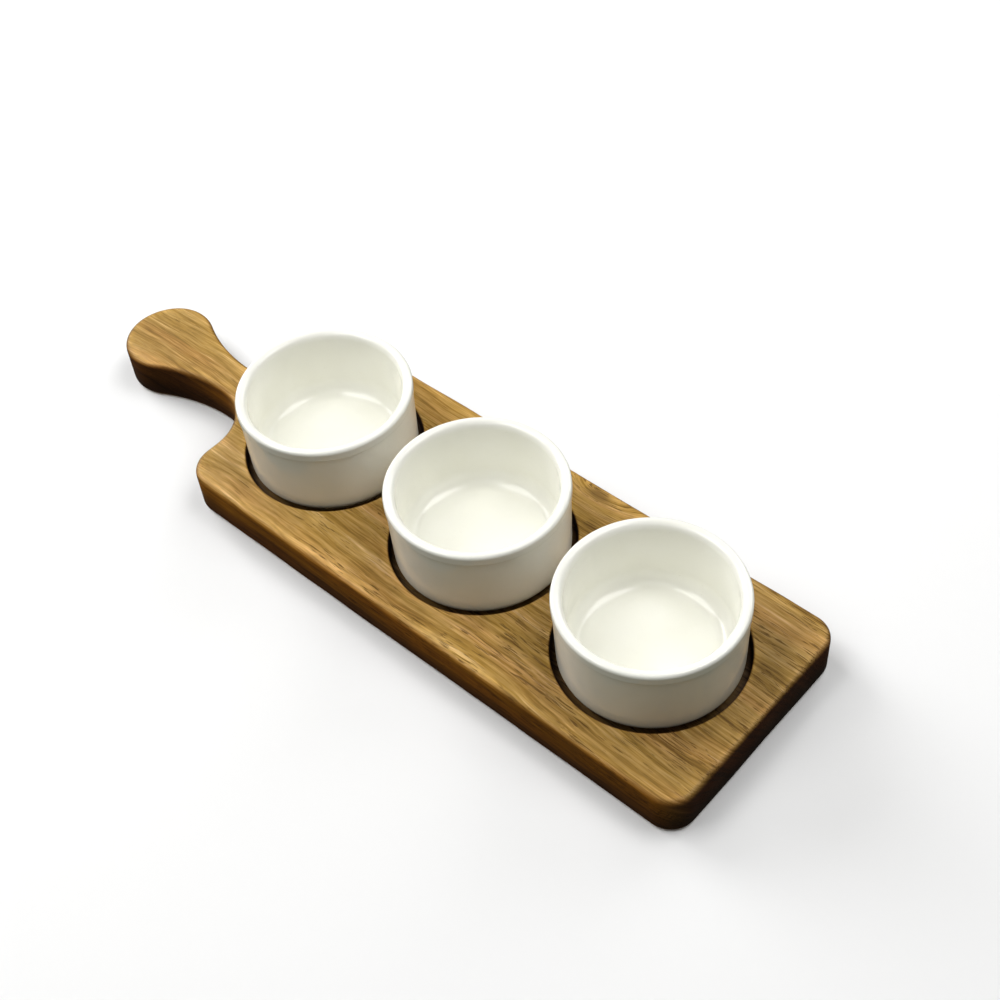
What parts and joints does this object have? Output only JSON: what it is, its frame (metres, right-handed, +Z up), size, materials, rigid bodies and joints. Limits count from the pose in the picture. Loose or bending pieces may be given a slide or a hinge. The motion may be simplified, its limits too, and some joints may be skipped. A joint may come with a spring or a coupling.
{
  "type": "chip and dip server",
  "caption": "Paddle-shaped wooden serving board with a rounded handle and a row of shallow round recesses, each holding a loose straight-sided white dip dish.",
  "frame": {"origin": "middle of the board's length and width, on the plane that the board rests on", "axes": "+X along the board from the handle to the square end, +Z up out of the recesses, +Y across the board"},
  "size_m": [0.4, 0.117, 0.0585],
  "materials": {
    "board_wood": "oiled satin, long straight grain along the board",
    "dish_glaze": "smooth white gloss glaze"
  },
  "bodies": {
    "board": {"serving_board": "board_wood"},
    "dish_handle_end": {"ramekin_handle_end": "dish_glaze"},
    "dish_middle": {"ramekin_middle": "dish_glaze"},
    "dish_far_end": {"ramekin_far_end": "dish_glaze"}
  },
  "joints": [
    {"name": "lift_handle_end", "type": "slide", "parent": "board", "child": "dish_handle_end", "axis": [0, 0, 1], "range_m": [0, 0.06]},
    {"name": "lift_middle", "type": "slide", "parent": "board", "child": "dish_middle", "axis": [0, 0, 1], "range_m": [0, 0.06]},
    {"name": "lift_far_end", "type": "slide", "parent": "board", "child": "dish_far_end", "axis": [0, 0, 1], "range_m": [0, 0.06]}
  ]
}
